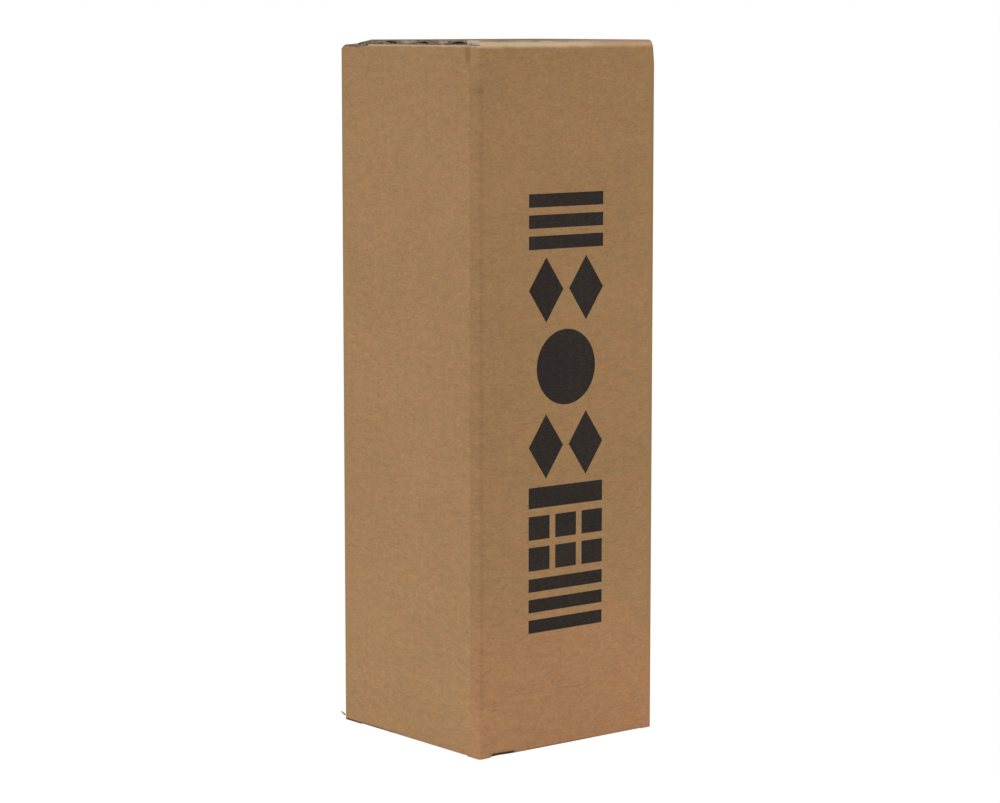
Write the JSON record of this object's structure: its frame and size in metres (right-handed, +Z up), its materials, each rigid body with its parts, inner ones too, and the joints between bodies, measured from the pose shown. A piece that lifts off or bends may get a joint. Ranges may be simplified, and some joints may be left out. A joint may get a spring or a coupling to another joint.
{
  "type": "corrugated cardboard bottle carton",
  "caption": "Tall square carton of corrugated board for a bottle, with a hinged tuck lid over folded-in dust flaps, a locked flap bottom and plain bold marks printed down the front.",
  "frame": {"origin": "middle of the carton's base, on the surface that it stands on", "axes": "+Z up along the carton's height, -Y towards the printed front panel, +X to the right seen from the front"},
  "size_m": [0.12, 0.1201, 0.374],
  "materials": {
    "kraft_board": "matte brown kraft paper over fluted board",
    "print_ink": "matte black-brown printing ink soaked into the paper"
  },
  "bodies": {
    "carton": {"carton": "kraft_board", "printed_marks": "print_ink"},
    "lid": {"lid": "kraft_board"}
  },
  "joints": [
    {"name": "lid_fold", "type": "hinge", "parent": "carton", "child": "lid", "pos_m": [0, -0.06, 0.374], "axis": [1, 0, 0], "range_deg": [0, 250]}
  ]
}
